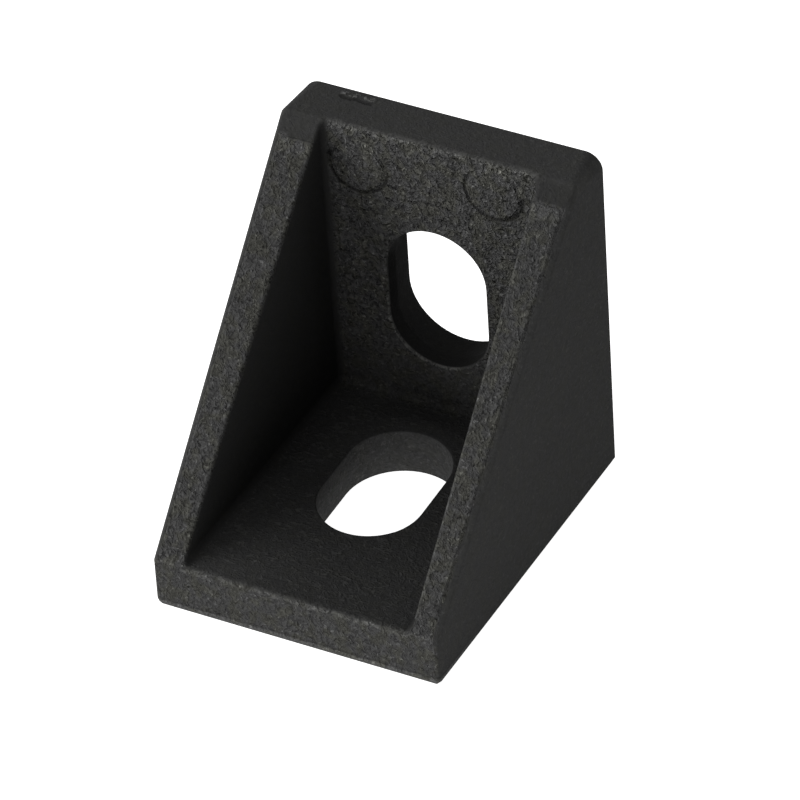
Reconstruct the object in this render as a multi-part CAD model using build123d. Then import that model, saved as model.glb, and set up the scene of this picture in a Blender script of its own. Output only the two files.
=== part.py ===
from build123d import *
from math import hypot, radians, tan
import os

# Die-cast corner bracket for slotted framing of 20 mm profile, cast in one piece: an upright leg
# and a foot, square to each other, joined by a triangular gusset on each side. Each leg has one
# slotted bolt hole.
#
# Millimetres and degrees. X runs across the bracket, the upright leg's mounting face looks along
# +Y, the foot stands on Z = 0, and the origin is the middle of the base. The mould opens along Y,
# so what runs along Y carries the casting draft.

# Legs
WIDTH = 17.0  # across the upright leg's mounting face
UPRIGHT_HEIGHT = 20.0
FOOT_LENGTH = 20.0
UPRIGHT_THICKNESS = 3.0
FOOT_THICKNESS = 3.0
DRAFT_ANGLE = 1.0

# Gussets
GUSSET_THICKNESS = 2.25  # where it meets the upright leg
CORE_SHIFT = 0.12  # of the space between the gussets, to the right of the middle
LAND_HEIGHT = 0.1  # the raised land along a gusset's sloping edge
LAND_EDGE_MARGIN = 0.32  # from the land to the bracket's side
LAND_TOP_MARGIN = 1.3  # from the land to the top of the slope, along it
LAND_TOE_MARGIN = 0.8  # from the land to the foot of the slope, along it
LAND_CORNER_RADIUS = 0.5
LAND_BEVEL_ANGLE = 45.0

# Bolt slots, for M5 screws
SLOT_WIDTH = 5.7
SLOT_LENGTH = 8.7
UPRIGHT_SLOT_HEIGHT = 10.0  # centre above the base
FOOT_SLOT_REACH = 9.8  # centre from the upright leg's mounting face
SLOT_STRAIGHT_DEPTH = 1.0  # below the face that the screw head seats on
SLOT_FLARE_ANGLE = 10.0  # from there to the mounting face

# Ejector pin marks on the upright leg's inner face: across, and up
EJECTOR_MARK_RADIUS = 1.55
EJECTOR_MARK_HEIGHT = 0.2
EJECTOR_MARK_SIDE_ANGLE = 35.0  # away from the mould's opening direction
EJECTOR_MARK_EDGE_RADIUS = 0.04
EJECTOR_MARK_PLACES = ((-4.13, 17.57), (3.68, 18.1))

# Roundings
BACK_CORNER_RADIUS = 1.0  # the upright's top corners, at its mounting face
FRONT_CORNER_RADIUS = 0.35  # the same corners from the inner face forwards
BASE_SIDE_RADIUS = 0.42  # the base's left edge, the only one that isn't bevelled
SLOPE_EDGE_RADIUS = 0.3
TOE_EDGE_RADIUS = 0.25
MOUNTING_EDGE_BEVEL = 0.22
CAVITY_RADIUS = 0.35
RIM_RADIUS = 0.2  # where the cavity opens out
SLOT_MOUTH_RADIUS = 0.12

# Places that follow from the sizes above
BACK_Y = FOOT_LENGTH / 2
TOE_Y = BACK_Y - FOOT_LENGTH
INNER_Y = BACK_Y - UPRIGHT_THICKNESS
SLOPE_RUN = INNER_Y - TOE_Y
SLOPE_RISE = UPRIGHT_HEIGHT - FOOT_THICKNESS
SLOPE_LENGTH = hypot(SLOPE_RUN, SLOPE_RISE)
DRAFT = tan(radians(DRAFT_ANGLE))
OVERRUN = 5.0  # how far cutters run past the faces that they open
TOUCH = 1e-4  # how near a point lies to a plane that it is on


def half_width(y):
    """Half the bracket's width, which the draft narrows towards the toe."""
    return WIDTH / 2 - (BACK_Y - y) * DRAFT


def half_gap(y):
    """Half the distance between the gussets, which the draft widens towards the toe."""
    return half_width(INNER_Y) - GUSSET_THICKNESS + (INNER_Y - y) * DRAFT


def front_view(y):
    """The workplane that looks along Y at this station."""
    return Plane.XZ.offset(-y)


def end_view_outline(y, top_corner_radius):
    """The bracket's outline from the front at one station."""
    outline = Rectangle(2 * half_width(y), UPRIGHT_HEIGHT, align=(Align.CENTER, Align.MIN))
    top_corners = outline.vertices().group_by(Axis.Y)[-1]
    outline = fillet(top_corners, top_corner_radius)
    base_left_corner = outline.vertices().group_by(Axis.Y)[0].sort_by(Axis.X)[0]
    return front_view(y) * fillet(base_left_corner, BASE_SIDE_RADIUS)


def blank():
    """The outer form: the drafted block, cut along the slope from leg end to leg end."""
    stations = (
        (BACK_Y, BACK_CORNER_RADIUS),
        (INNER_Y, FRONT_CORNER_RADIUS),
        (TOE_Y, FRONT_CORNER_RADIUS),
    )
    outlines = [end_view_outline(y, radius) for y, radius in stations]
    body = loft(outlines[:2], ruled=True) + loft(outlines[1:], ruled=True)
    side_outline = Polyline(
        (BACK_Y, 0),
        (BACK_Y, UPRIGHT_HEIGHT),
        (INNER_Y, UPRIGHT_HEIGHT),
        (TOE_Y, FOOT_THICKNESS),
        (TOE_Y, 0),
        close=True,
    )
    side = extrude(Plane.YZ * make_face(side_outline), WIDTH, both=True)
    return body & side


def above_slope(point):
    """Height of a point over the sloping plane of the gussets."""
    return ((point.Z - FOOT_THICKNESS) * SLOPE_RUN - (point.Y - TOE_Y) * SLOPE_RISE) / SLOPE_LENGTH


def lies_in(edge, distance):
    """Whether both ends and the middle of an edge are at no distance from a surface."""
    return all(abs(distance(edge @ share)) < TOUCH for share in (0, 0.5, 1))


def edges_in(solid, *distances):
    """The edges that lie in every one of the surfaces given by their distance functions."""
    return solid.edges().filter_by(lambda edge: all(lies_in(edge, d) for d in distances))


def above_toe(point):
    return point.Y - TOE_Y


def above_base(point):
    return point.Z


def before_back(point):
    return BACK_Y - point.Y


def before_inner_face(point):
    return INNER_Y - point.Y


def above_foot(point):
    return point.Z - FOOT_THICKNESS


def rounded_blank():
    """The outer form with its edges bevelled and rounded."""
    body = blank()
    body = fillet(edges_in(body, above_slope), SLOPE_EDGE_RADIUS)
    base_right_edge = edges_in(body, above_base).sort_by(Axis.X)[-1]
    body = chamfer(edges_in(body, before_back) + [base_right_edge], MOUNTING_EDGE_BEVEL)
    toe_edges = edges_in(body, above_toe).sort_by(Axis.Z)[:-1]
    return fillet(toe_edges, TOE_EDGE_RADIUS)


def plan_of_gap(front_y, back_y):
    """The space between the gussets in plan."""
    corners = (
        (CORE_SHIFT - half_gap(front_y), front_y),
        (CORE_SHIFT + half_gap(front_y), front_y),
        (CORE_SHIFT + half_gap(back_y), back_y),
        (CORE_SHIFT - half_gap(back_y), back_y),
    )
    return Polygon(*corners, align=None)


def cavity():
    """The space between the gussets, from the foot up and from the upright leg forwards."""
    plan = plan_of_gap(TOE_Y - OVERRUN, INNER_Y)
    core = extrude(Plane.XY.offset(FOOT_THICKNESS) * plan, UPRIGHT_HEIGHT)
    floor_edges = edges_in(core, above_foot).sort_by(Axis.Y)[1:]
    crease_edges = edges_in(core, before_inner_face).filter_by(Axis.Z)
    return fillet(floor_edges + crease_edges, CAVITY_RADIUS)


def hollowed(body):
    """Cut the cavity, and round the whole of its rim."""
    body -= cavity()
    leg_end = edges_in(body, before_inner_face).sort_by(Axis.Z)[-1]
    return fillet(leg_end, RIM_RADIUS)  # runs on down both gussets and across the foot's end


def slope_lands():
    """The raised lands along the gussets' slopes, rooted in the gussets."""
    slope = Plane((0, INNER_Y, UPRIGHT_HEIGHT), x_dir=(1, 0, 0), z_dir=(0, -SLOPE_RISE, SLOPE_RUN))
    root = GUSSET_THICKNESS / 4

    def outer_edge(down_slope):
        return half_width(INNER_Y - down_slope * SLOPE_RUN / SLOPE_LENGTH) - LAND_EDGE_MARGIN

    top, toe = LAND_TOP_MARGIN, SLOPE_LENGTH - LAND_TOE_MARGIN
    corners = (
        (-outer_edge(toe), -toe),
        (outer_edge(toe), -toe),
        (outer_edge(top), -top),
        (-outer_edge(top), -top),
    )
    outline = Polygon(*corners, align=None)
    outline = fillet(outline.vertices(), LAND_CORNER_RADIUS)
    both_lands = extrude(slope.offset(-root) * outline, root)
    both_lands += extrude(slope * outline, LAND_HEIGHT, taper=LAND_BEVEL_ANGLE)

    thickness = root + LAND_HEIGHT
    length = SLOPE_LENGTH + 2 * OVERRUN
    middle = slope.offset(LAND_HEIGHT - thickness / 2) * Pos(0, -SLOPE_LENGTH / 2)
    bars = middle * Box(WIDTH, length, thickness)
    gap = plan_of_gap(TOE_Y - 3 * OVERRUN, BACK_Y + OVERRUN)
    bars -= extrude(Plane.XY * gap, 2 * UPRIGHT_HEIGHT, both=True)
    land_top = slope.offset(LAND_HEIGHT)
    inner_edges = [
        edge
        for edge in edges_in(bars, lambda point: land_top.to_local_coords(point).Z)
        if abs(edge.center().X) < WIDTH / 2 - TOUCH and abs(edge.tangent_at(0.5).X) < 0.5
    ]
    return fillet(inner_edges, RIM_RADIUS) & both_lands


def slot(mouth, leg_thickness):
    """A slot cut down from its mouth: straight under the screw head, then flared."""
    length_between = SLOT_LENGTH - SLOT_WIDTH
    opening = SlotCenterToCenter(length_between, SLOT_WIDTH, rotation=90)
    flare_depth = leg_thickness - SLOT_STRAIGHT_DEPTH + OVERRUN
    flare_width = SLOT_WIDTH + 2 * flare_depth * tan(radians(SLOT_FLARE_ANGLE))
    wide_opening = SlotCenterToCenter(length_between, flare_width, rotation=90)
    flare_start = mouth.offset(-SLOT_STRAIGHT_DEPTH) * opening
    flare_end = mouth.offset(-leg_thickness - OVERRUN) * wide_opening
    straight = extrude(flare_start, SLOT_STRAIGHT_DEPTH + OVERRUN)
    return straight + loft([flare_start, flare_end], ruled=True)


def round_mouth(body, mouth):
    """Round the edge that the screw head sits over."""
    within_mouth = SLOT_LENGTH / 2 + TOUCH
    rim = [
        edge
        for edge in edges_in(body, lambda point: mouth.to_local_coords(point).Z)
        if mouth.to_local_coords(edge.center()).length < within_mouth
    ]
    return fillet(rim, SLOT_MOUTH_RADIUS)


def ejector_marks():
    """The low round pads that the ejector pins leave on the upright leg's inner face."""
    root = EJECTOR_MARK_HEIGHT
    root_radius = EJECTOR_MARK_RADIUS + root * tan(radians(EJECTOR_MARK_SIDE_ANGLE))
    marks = Part()
    for across, up in EJECTOR_MARK_PLACES:
        outline = front_view(INNER_Y + root) * Pos(across, up) * Circle(root_radius)
        pad = extrude(outline, root + EJECTOR_MARK_HEIGHT, taper=EJECTOR_MARK_SIDE_ANGLE)
        rim = pad.edges().sort_by(Axis.Y)[0]
        marks += fillet(rim, EJECTOR_MARK_EDGE_RADIUS)
    return marks


def corner_bracket():
    """The whole casting."""
    upright_mouth = Plane((0, INNER_Y, UPRIGHT_SLOT_HEIGHT), x_dir=(1, 0, 0), z_dir=(0, -1, 0))
    foot_mouth = Plane((0, BACK_Y - FOOT_SLOT_REACH, FOOT_THICKNESS))
    body = hollowed(rounded_blank()) + slope_lands() + ejector_marks()
    for mouth, thickness in ((upright_mouth, UPRIGHT_THICKNESS), (foot_mouth, FOOT_THICKNESS)):
        body = round_mouth(body - slot(mouth, thickness), mouth)
    return body


os.makedirs("parts", exist_ok=True)
export_step(corner_bracket(), "parts/corner_bracket.step")
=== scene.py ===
"""Studio view of a die-cast corner bracket for slotted framing: its finish, floor and light.

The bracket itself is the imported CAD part. Everything is in metres in its frame: X runs across the
bracket, the upright leg's mounting face looks along +Y, and the foot stands on Z = 0.
"""

import math

import bpy
from mathutils import Matrix, Vector


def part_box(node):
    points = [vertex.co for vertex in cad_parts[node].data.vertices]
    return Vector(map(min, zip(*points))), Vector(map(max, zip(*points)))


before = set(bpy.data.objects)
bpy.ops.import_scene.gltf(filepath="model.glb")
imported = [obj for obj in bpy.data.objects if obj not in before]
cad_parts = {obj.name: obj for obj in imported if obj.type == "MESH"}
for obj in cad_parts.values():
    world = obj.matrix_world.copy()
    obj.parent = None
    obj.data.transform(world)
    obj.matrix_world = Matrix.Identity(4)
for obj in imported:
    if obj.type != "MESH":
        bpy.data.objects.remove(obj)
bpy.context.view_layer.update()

MM = 0.001
BRACKET = "corner_bracket"
LOW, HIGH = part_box(BRACKET)


# Camera

AIM = Vector((1.37, -0.06, 9.1)) * MM
CAMERA_AZIMUTH = math.radians(29.25)
CAMERA_ELEVATION = math.radians(38.8)
CAMERA_ROLL = math.radians(-3.75)
CAMERA_DISTANCE = 380.7 * MM
CAMERA_LENS = 336.0  # on the default sensor, 36 mm wide


def direction_to(azimuth, elevation):
    """From the bracket outwards: azimuth 0 is in front of its open side, 90 degrees its right."""
    flat = math.cos(elevation)
    return Vector((flat * math.sin(azimuth), -flat * math.cos(azimuth), math.sin(elevation)))


def make_camera():
    outward = direction_to(CAMERA_AZIMUTH, CAMERA_ELEVATION)
    level_right = Vector((math.cos(CAMERA_AZIMUTH), math.sin(CAMERA_AZIMUTH), 0))
    level_up = outward.cross(level_right)
    right = math.cos(CAMERA_ROLL) * level_right + math.sin(CAMERA_ROLL) * level_up
    up = outward.cross(right)
    data = bpy.data.cameras.new("camera")
    data.lens = CAMERA_LENS
    data.clip_start = 1 * MM
    camera = bpy.data.objects.new("camera", data)
    turn = Matrix((right, up, outward)).transposed().to_4x4()
    camera.matrix_world = Matrix.Translation(AIM + CAMERA_DISTANCE * outward) @ turn
    bpy.context.scene.collection.objects.link(camera)
    bpy.context.scene.camera = camera


# Node trees

def add_node(tree, kind, inputs=(), **settings):
    """A node with its settings, and with its inputs linked or given values, by name or number."""
    node = tree.nodes.new(kind)
    for name, value in settings.items():
        setattr(node, name, value)
    for key, value in dict(inputs).items():
        if isinstance(value, Value):
            value = value.socket
        if isinstance(value, bpy.types.NodeSocket):
            tree.links.new(value, node.inputs[key])
        else:
            node.inputs[key].default_value = value
    return node


class Value:
    """A number that a node gives, with the arithmetic that further nodes do on it."""

    def __init__(self, tree, socket):
        self.tree = tree
        self.socket = socket

    def maths(self, operation, *inputs):
        node = add_node(self.tree, "ShaderNodeMath", enumerate(inputs), operation=operation)
        return Value(self.tree, node.outputs[0])

    def __add__(self, other):
        return self.maths("ADD", self, other)

    def __sub__(self, other):
        return self.maths("SUBTRACT", self, other)

    def __rsub__(self, other):
        return self.maths("SUBTRACT", other, self)

    def __mul__(self, other):
        return self.maths("MULTIPLY", self, other)

    def __abs__(self):
        return self.maths("ABSOLUTE", self)

    __radd__ = __add__
    __rmul__ = __mul__


def largest(first, *others):
    for other in others:
        first = first.maths("MAXIMUM", first, other)
    return first


def smaller(first, second):
    return first.maths("MINIMUM", first, second)


def hypotenuse(across, along):
    squares = across * across + along * along
    return squares.maths("SQRT", squares)


def step(value, start, end):
    """A smooth step from 0 at start to 1 at end, which may lie below start."""
    falls = start > end
    inputs = {
        "Value": value,
        "From Min": min(start, end),
        "From Max": max(start, end),
        "To Min": 1.0 if falls else 0.0,
        "To Max": 0.0 if falls else 1.0,
    }
    node = add_node(value.tree, "ShaderNodeMapRange", inputs, interpolation_type="SMOOTHSTEP")
    return Value(value.tree, node.outputs["Result"])


def blend(share, first, second):
    """From the first number to the second as the share goes from 0 to 1."""
    inputs = {0: share, 2: first, 3: second}
    node = add_node(share.tree, "ShaderNodeMix", inputs, data_type="FLOAT")
    return Value(share.tree, node.outputs[0])


def blend_colors(share, first, second):
    inputs = {0: share, 6: first, 7: second}
    return add_node(share.tree, "ShaderNodeMix", inputs, data_type="RGBA").outputs[2]


def noise(tree, place, scale, detail, distortion=0.0):
    """Noise round 0.5, with the scale in features per millimetre."""
    inputs = {"Vector": place, "Scale": scale, "Detail": detail, "Distortion": distortion}
    return Value(tree, add_node(tree, "ShaderNodeTexNoise", inputs).outputs[0])


# Light, floor and background

LAMP_DISTANCE = 0.6
# azimuth and elevation in degrees, width and height in metres, power in watts
LAMPS = {
    "key": (-58.0, 20.0, 0.62, 0.36, 3.8),
    "front": (0.0, 42.0, 0.30, 0.30, 0.57),
    "right": (110.0, 22.0, 0.30, 0.30, 0.31),
    "back": (180.0, 50.0, 0.30, 0.30, 0.90),
}
WHITE = (1, 1, 1, 1)
SKY_STRENGTH = 0.06
BACKDROP_STRENGTH = 1.0
FLOOR_GLOW = 0.5  # on the bracket, while the floor itself is seen as white
FLOOR_COLOR = (0.85, 0.85, 0.85, 1)
FLOOR_HALF_SIZE = 2.0
FLOOR_CLEARANCE = 0.02 * MM


def make_lamps():
    """Soft boxes that face the bracket."""
    middle = (LOW + HIGH) / 2
    for name, (azimuth, elevation, width, height, power) in LAMPS.items():
        data = bpy.data.lights.new(name, "AREA")
        data.shape = "RECTANGLE"
        data.size, data.size_y = width, height
        data.energy = power
        lamp = bpy.data.objects.new(name, data)
        towards = direction_to(math.radians(azimuth), math.radians(elevation))
        lamp.location = middle + LAMP_DISTANCE * towards
        lamp.rotation_euler = towards.to_track_quat("Z", "Y").to_euler()
        bpy.context.scene.collection.objects.link(lamp)


def seen_directly(tree):
    """1 for camera, glossy and transmitted rays, 0 for the rays that light other surfaces."""
    path = add_node(tree, "ShaderNodeLightPath")
    rays = ("Is Camera Ray", "Is Glossy Ray", "Is Transmission Ray")
    return largest(*(Value(tree, path.outputs[ray]) for ray in rays))


def make_world():
    world = bpy.data.worlds.new("studio")
    world.use_nodes = True
    tree = world.node_tree
    tree.nodes.clear()
    sky, backdrop = (
        add_node(tree, "ShaderNodeBackground", {"Color": WHITE, "Strength": strength}).outputs[0]
        for strength in (SKY_STRENGTH, BACKDROP_STRENGTH)
    )
    both = add_node(tree, "ShaderNodeMixShader", {0: seen_directly(tree), 1: sky, 2: backdrop})
    add_node(tree, "ShaderNodeOutputWorld", {"Surface": both.outputs[0]})
    bpy.context.scene.world = world


def make_floor():
    mesh = bpy.data.meshes.new("floor")
    size, level = FLOOR_HALF_SIZE, LOW.z - FLOOR_CLEARANCE
    square = ((-size, -size), (size, -size), (size, size), (-size, size))
    corners = [(x, y, level) for x, y in square]
    mesh.from_pydata(corners, [], [(0, 1, 2, 3)])
    floor = bpy.data.objects.new("floor", mesh)
    bpy.context.scene.collection.objects.link(floor)
    material = bpy.data.materials.new("floor_paint")
    material.use_nodes = True
    tree = material.node_tree
    tree.nodes.clear()
    paint = add_node(tree, "ShaderNodeBsdfDiffuse", {"Color": FLOOR_COLOR})
    strength = blend(seen_directly(tree), FLOOR_GLOW, BACKDROP_STRENGTH)
    glow = add_node(tree, "ShaderNodeEmission", {"Color": WHITE, "Strength": strength})
    both = add_node(tree, "ShaderNodeAddShader", {0: paint.outputs[0], 1: glow.outputs[0]})
    add_node(tree, "ShaderNodeOutputMaterial", {"Surface": both.outputs[0]})
    mesh.materials.append(material)


# The casting, in millimetres in its frame. Its forms are the CAD part's, and these measures say
# where its finish changes.

BACK_Y = HIGH.y / MM
TOE_Y = LOW.y / MM
TOP_Z = HIGH.z / MM
SIDE_X = HIGH.x / MM  # at the back
LEG_THICKNESS = 3.0
INNER_Y = BACK_Y - LEG_THICKNESS  # the upright leg's inner face
DRAFT = math.tan(math.radians(1.0))
BACK_WIDTH = 17.0
GUSSET_THICKNESS = 2.25  # where a gusset meets the upright leg
HALF_GAP = BACK_WIDTH / 2 - LEG_THICKNESS * DRAFT - GUSSET_THICKNESS  # between them there
CORE_SHIFT = 0.12  # of the gap between them, to the right of the middle
SLOPE_OFFSET = LEG_THICKNESS - TOE_Y  # z less y on the gussets' slopes
LAND_TOP_Z = 19.05  # the upper end of the raised lands on the slopes
LAND_EDGE_MARGIN = 0.32  # from the lands to the bracket's sides
SLOT_RADIUS = 2.85
SLOT_HALF_RUN = 1.5
UPRIGHT_SLOT_Z = 10.0
FOOT_SLOT_Y = BACK_Y - 9.8
PIN_PLACES = ((-4.13, 17.57), (3.68, 18.1))  # the ejector marks: across, and up
# Round each ejector mark: a thin gap, a groove in the bump darkened at its lower left as painted
# shade, and the mark's slanted side, lightened as painted light
PIN_GAP_RADIUS = 1.68  # the thin gap that each pin left round its mark
PIN_FLANK_RADIUS = 1.50  # the mark's slanted side
GATE_X = -5.15  # where the metal flowed into the mould, on the top
GATE_Y = BACK_Y - 0.6
# the dent in front of the broken gate is darkened as a painted shadow
GATE_SHADOW_OFFSET = 0.36  # from the broken gate to the dent in front of it


class Spot:
    """A point of the casting's surface, and where it lies in the casting."""

    def __init__(self, x, y, z, wander):
        self.x, self.y, self.z = x, y, z
        self.wander = wander
        self.over_slope = z - y - SLOPE_OFFSET  # the distance over the slope, times the root of 2
        self.over_floor = z - LEG_THICKNESS
        self.behind_wall = y - INNER_Y
        self.inside_side = (y - BACK_Y) * DRAFT + SIDE_X - abs(x)
        self.inside_gap = (INNER_Y - y) * DRAFT + HALF_GAP - abs(x - CORE_SHIFT)
        self.between_gussets = step(self.inside_gap, -0.12, -0.04)
        self.round_upright_slot = slot_distance(x, z - UPRIGHT_SLOT_Z)
        self.round_foot_slot = slot_distance(x, y - FOOT_SLOT_Y)

    def wandering(self, value, size):
        """The value with its borders made uneven."""
        return value + self.wander * size

    def from_slope_line(self, distance):
        """The distance from the line where the slope meets another of the casting's surfaces."""
        return hypotenuse(self.over_slope * math.sqrt(0.5), distance)


def slot_distance(across, along):
    """The distance outwards from a slot's outline."""
    beyond = largest(abs(along) - SLOT_HALF_RUN, 0.0)
    return hypotenuse(across, beyond) - SLOT_RADIUS


# Each function below gives zones of the finish by name: 1 within a zone and 0 outside it, with
# the width of its borders and the size of small features in millimetres

def slope_zones(spot):
    """The raised lands on the gussets' slopes, and the casting's sloping and upper outer edges,
    zones that carry painted light and shade.
    """
    on_right = step(spot.x, 0.0, 1.0)
    side = spot.wandering(spot.inside_side, 0.25)
    land = (
        step(spot.over_slope, -0.10, -0.02)
        * step(side, LAND_EDGE_MARGIN - 0.12, LAND_EDGE_MARGIN + 0.02)
        * step(spot.wandering(spot.z, 0.5), LAND_TOP_Z + 0.1, LAND_TOP_Z - 0.05)
    )
    top_line = hypotenuse(spot.z - TOP_Z, spot.inside_side)
    return {
        "land": land,
        # painted light on the lands' upper ends
        "land_end": land * step(spot.wandering(spot.z, 1.6), LAND_TOP_Z - 0.6, LAND_TOP_Z - 0.2),
        # painted light on the shaded side of the right land
        "land_side": land
        * step(spot.over_slope, 0.0, 0.04)
        * step(spot.over_slope, 0.14, 0.11)
        * on_right,
        # painted shade on the patch above the right land
        "above_land": step(spot.over_slope, -0.25, -0.12)
        * step(spot.z, LAND_TOP_Z - 0.1, LAND_TOP_Z + 0.1)
        * step(spot.z, TOP_Z, TOP_Z - 0.3)
        * on_right,
        # painted light on the outer edges' fillets
        "outer_edges": largest(
            step(spot.from_slope_line(side), 0.24, 0.12),
            step(top_line, 0.5, 0.15),
        ),
    }


def cavity_zones(spot):
    """The space between the gussets, with painted shade on the gussets' inner faces and in the
    floor's corners.
    """
    cavity = (
        spot.between_gussets
        * step(spot.behind_wall, 0.08, 0.03)
        * step(spot.over_floor, -0.08, -0.03)
    )
    off_gussets = step(spot.inside_gap, 0.1, 0.4)
    wall = cavity * step(spot.behind_wall, -0.9, -0.4) * off_gussets
    floor = cavity * step(spot.over_floor, 0.9, 0.4) * off_gussets
    floor_corners = smaller(
        hypotenuse(spot.behind_wall, spot.over_floor),
        hypotenuse(spot.inside_gap, spot.over_floor),
    )
    return {
        "cavity": cavity,
        "wall": wall,
        "floor": floor,
        # painted shade on the gussets' inner faces and in the floor's corners
        "gussets": cavity - largest(wall, floor),
        "floor_corners": step(floor_corners, 1.1, 0.1) * cavity,
    }


def slot_zones(spot):
    """The walls of the slots: the upright slot's carry painted shade, the foot slot's carry painted
    light and grain.
    """
    return {
        # painted shade on the upright slot's walls
        "upright_slot": step(spot.round_upright_slot, 1.2, 1.0)
        * step(spot.behind_wall, 0.08, 0.2)
        * step(spot.y, BACK_Y - 0.03, BACK_Y - 0.1),
        # painted light on the foot slot's walls, which also carry grain
        "foot_slot": step(spot.round_foot_slot, 1.2, 1.0)
        * step(spot.over_floor, -0.02, -0.12)
        * step(spot.z, 0.03, 0.1),
    }


def outer_zones(spot):
    """The top, the toe, and the bevel along the toe's foot with the thin line over it. The top and
    the toe are lightened as painted light, the bevel as a painted highlight, and the line darkened
    as a painted shadow.
    """
    height = spot.wandering(spot.z, 0.2)
    beside = step(spot.inside_side, 0.5, 0.4) * step(spot.y, TOE_Y + 5.0, TOE_Y + 2.0)
    around = largest(beside, step(spot.y, TOE_Y + 0.5, TOE_Y + 0.4))
    return {
        # painted light on the top and the toe
        "top": step(spot.z, TOP_Z - 0.12, TOP_Z - 0.02),
        "toe": step(spot.y, TOE_Y + 0.12, TOE_Y + 0.04) * step(spot.z, 0.15, 0.3),
        # painted highlight on the bevel, painted shadow on the line over it
        "base_bevel": step(height, 0.46, 0.38) * around,
        "base_line": step(abs(height - 0.53), 0.08, 0.03) * around,
    }


def lighter_rims_zone(spot):
    """The lighter rims of the space between the gussets and of the upright slot. At the slot only
    the lower left is lighter, where light falls: a painted highlight.
    """
    leg_lines = smaller(
        hypotenuse(spot.behind_wall, spot.z - TOP_Z),
        hypotenuse(spot.y - TOE_Y, spot.over_floor),
    )
    leg_rims = spot.between_gussets * step(spot.wandering(leg_lines, 0.5), 0.36, 0.14)
    slope_rims = step(spot.from_slope_line(spot.inside_gap), 0.30, 0.05)
    # painted highlight: only the slot rim's lower left, where light falls, is lighter
    slot_rim = (
        step(spot.wandering(abs(spot.round_upright_slot), 0.3), 0.16, 0.05)
        * step(spot.behind_wall, 0.16, 0.08)
        * step(spot.behind_wall, -0.12, -0.05)
        * step(spot.z, UPRIGHT_SLOT_Z + 2.0, UPRIGHT_SLOT_Z - 1.5)
        * step(spot.x, 1.8, 0.6)
    )
    return largest(leg_rims * LEG_RIM_LIGHTENING, slope_rims * SLOPE_RIM_LIGHTENING, slot_rim)


def pin_zones(spot, wall):
    """The gap round each ejector mark, at its lower left, a groove that is darkened as painted
    shade, and the mark's side, at its right, lightened as painted light.
    """
    gaps, flanks = [], []
    for pin_x, pin_z in PIN_PLACES:
        across, up = spot.x - pin_x, spot.z - pin_z
        radius = hypotenuse(across, up)
        low_left = step(up + across * 0.7, 1.3, 0.5) * step(up, 1.0, 0.3)
        # painted shade in the gap at the lower left, which is also a groove in the bump
        gaps.append(step(abs(radius - PIN_GAP_RADIUS), 0.14, 0.04) * low_left)
        right = step(across + up * 0.5, 0.5, 1.2)
        # painted light on the mark's right side
        flanks.append(step(abs(radius - PIN_FLANK_RADIUS), 0.14, 0.06) * right)
    return {"pin_gaps": largest(*gaps) * wall, "pin_flanks": largest(*flanks) * wall}


def gate_zones(spot, top, dots):
    """The bumps where the gate was broken off, lightened as a painted highlight, and the dent in
    front of them, darkened as a painted shadow.
    """
    length = top * step(abs(spot.x - GATE_X), 1.1, 0.8)
    before_gate = spot.y - spot.wandering(GATE_Y, 0.5)
    return {
        # painted highlight on the bumps, painted shadow in the dent
        "gate": length * step(abs(before_gate), 0.24, 0.10) * step(dots, 0.40, 0.55),
        "gate_shadow": length * step(abs(before_gate + GATE_SHADOW_OFFSET), 0.14, 0.04),
    }


# Finish: a thin matt black coat, over faces that the mould left grainy where its steel was
# textured, and nearly smooth elsewhere. Its colour also carries painted light and shade, zone by
# zone.

COAT_COLOR = (0.0415, 0.0415, 0.0413, 1)
WARM_COLOR = (0.0425, 0.0423, 0.0368, 1)
# the lighter colour of the rims, a painted highlight at the upright slot
RIM_COLOR = (0.110, 0.110, 0.105, 1)
SPECULAR_LEVEL = 0.006
ROUGHNESS = 0.75

# How far the lighter rims go towards the rim colour
RIM_LIGHTENING = 0.7
LEG_RIM_LIGHTENING = 0.45
SLOPE_RIM_LIGHTENING = 0.12

# The scale of each noise, in features per millimetre
GRAIN_PER_MM = 3.9
DOTS_PER_MM = 4.875
HOLES_PER_MM = 4.29
FLECKS_PER_MM = 3.2
FLECK_STRETCH = (0.6, 1.0, 1.0)
WARM_PATCHES_PER_MM = 1.3
WANDER_PER_MM = 1.6

# How strong the grain is in each zone
GRAIN_DEPTH = 0.24 * MM
GRAIN = {"land": 1.1, "toe": 0.95, "floor": 0.35, "foot_slot": 0.5}
WALL_GRAIN = (0.64, 1.6)  # near the floor, and from the middle up
GUSSET_GRAIN = 0.10
SMOOTH_GRAIN = 0.26  # outside

# How much lighter or darker each zone is than the plain coat: painted light and shade, apart from
# the floor's flecks
PAINTED_LIGHT_AND_TONES = {
    # painted light: the lands, their upper ends and their right sides lighter, as where light
    # falls; painted shade: the patch above the right land darker
    "land": 1.40,
    "land_end": 1.4,
    "land_side": 1.15,
    "above_land": 0.85,
    # painted light on the fillets along the outer edges, against their shade
    "outer_edges": 1.3,
    # painted light: the top, the toe and the whole front lighter, as where the lamps fall
    "top": 1.14,
    "toe": 1.26,
    "front": 1.09,
    # painted highlight on the bevel along the toe's foot, painted shadow on the thin line over it
    "base_bevel": 1.7,
    "base_line": 0.85,
    # painted shade on the gussets' inner faces and in the floor's corners, painted light on the
    # foot slot's walls
    "gussets": 0.75,
    "floor_corners": 0.92,
    "foot_slot": 1.95,
    # the floor's own lighter streaks
    "flecks": 1.4,
    # painted shade in the gaps round the ejector marks, painted light on their right sides, a
    # painted highlight on the gate's bumps and a painted shadow in the dent in front of them
    "pin_gaps": 0.45,
    "pin_flanks": 2.0,
    "gate": 2.8,
    "gate_shadow": 0.6,
}
# painted light: the wall lighter from near the floor up, as where light falls
WALL_PAINTED_LIGHT = (1.25, 1.6)  # near the floor, and from there up
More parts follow.
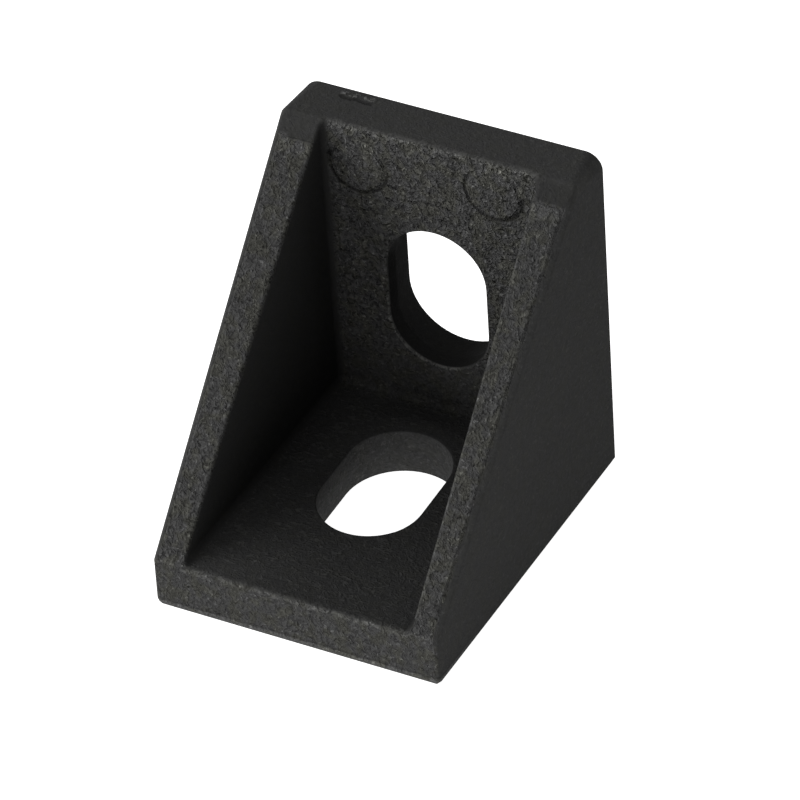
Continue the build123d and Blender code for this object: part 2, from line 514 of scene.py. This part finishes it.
# painted shade: the floor darker on the right than by the left gusset
FLOOR_PAINTED_SHADE = (0.74, 0.95)  # on the right, and at the left gusset
# painted shade: the upright slot's walls nearly black, a little less at their lower end
UPRIGHT_SLOT_PAINTED_SHADE = (0.1, 0.3)  # along the slot's sides, and at its lower end


def make_casting_material():
    material = bpy.data.materials.new("black_coat")
    material.use_nodes = True
    tree = material.node_tree
    bsdf = tree.nodes["Principled BSDF"]
    coordinates = add_node(tree, "ShaderNodeTexCoord")
    in_mm = {0: coordinates.outputs["Object"], "Scale": 1 / MM}
    place = add_node(tree, "ShaderNodeVectorMath", in_mm, operation="SCALE").outputs[0]
    outputs = add_node(tree, "ShaderNodeSeparateXYZ", {0: place}).outputs
    x, y, z = (Value(tree, output) for output in outputs)

    grain = noise(tree, place, GRAIN_PER_MM, detail=2.0, distortion=1.1)
    dots = noise(tree, place, DOTS_PER_MM, detail=1.0, distortion=0.5)
    holes = noise(tree, place, HOLES_PER_MM, detail=1.0, distortion=1.5)
    swing, peaks, pits = grain - 0.5, step(dots, 0.60, 0.74), step(holes, 0.38, 0.26)

    wander = noise(tree, place, WANDER_PER_MM, detail=3.0) - 0.5
    spot = Spot(x, y, z, wander)
    zones = {**slope_zones(spot), **cavity_zones(spot), **slot_zones(spot), **outer_zones(spot)}
    zones.update(pin_zones(spot, zones["wall"]))
    zones.update(gate_zones(spot, zones["top"], dots))
    # painted light: lighter towards the toe, where the lamps fall
    zones["front"] = step(y, 6.0, TOE_Y)
    stretched = {0: place, 1: FLECK_STRETCH}
    along = add_node(tree, "ShaderNodeVectorMath", stretched, operation="MULTIPLY").outputs[0]
    flecks = step(noise(tree, along, FLECKS_PER_MM, detail=2.0, distortion=1.0), 0.54, 0.68)
    zones["flecks"] = flecks * largest(zones["floor"], zones["foot_slot"] * 0.5)

    amount = largest(
        blend(zones["cavity"], SMOOTH_GRAIN, GUSSET_GRAIN),
        zones["wall"] * blend(step(z, 4.0, 9.0), *WALL_GRAIN),
        *(zones[name] * strength for name, strength in GRAIN.items()),
    )
    height = (
        (swing + peaks * 0.15 - pits * 0.12) * amount
        + zones["flecks"] * 0.12
        - zones["pin_gaps"] * 0.4
        + zones["gate"] * 0.6
        - zones["gate_shadow"] * 0.3
    )
    relief = {"Strength": 1.0, "Distance": GRAIN_DEPTH, "Height": height}
    bump = add_node(tree, "ShaderNodeBump", relief)
    tree.links.new(bump.outputs[0], bsdf.inputs["Normal"])

    # The grain's own light and dark, times the painted light and shade of each zone
    brightness = (swing * 1.7 + peaks - pits * 0.35) * amount + 1.0
    for name, tone in PAINTED_LIGHT_AND_TONES.items():
        brightness *= blend(zones[name], 1.0, tone)
    brightness *= blend(zones["wall"], 1.0, blend(step(z, 4.0, 8.0), *WALL_PAINTED_LIGHT))
    brightness *= blend(zones["floor"], 1.0, blend(step(x, 1.0, -5.0), *FLOOR_PAINTED_SHADE))
    brightness *= blend(zones["upright_slot"], 1.0, blend(step(z, 9.5, 7.5), *UPRIGHT_SLOT_PAINTED_SHADE))

    grainy = largest(zones["land"], zones["toe"], zones["wall"])
    patches = step(noise(tree, place, WARM_PATCHES_PER_MM, detail=1.0), 0.42, 0.62)
    coat = blend_colors(patches * blend(grainy, 0.25, 0.8), COAT_COLOR, WARM_COLOR)
    # lighter rims, broken up by the grain; at the upright slot a painted highlight
    lighter_rims = lighter_rims_zone(spot) * step(grain, 0.30, 0.60) * RIM_LIGHTENING
    shaded = {0: blend_colors(lighter_rims, coat, RIM_COLOR), "Scale": brightness}
    color = add_node(tree, "ShaderNodeVectorMath", shaded, operation="SCALE").outputs[0]
    tree.links.new(color, bsdf.inputs["Base Color"])
    bsdf.inputs["Roughness"].default_value = ROUGHNESS
    bsdf.inputs["Specular IOR Level"].default_value = SPECULAR_LEVEL
    return material


bpy.context.scene.view_settings.view_transform = "Standard"
make_camera()
make_world()
make_floor()
make_lamps()
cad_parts[BRACKET].data.materials[0] = make_casting_material()
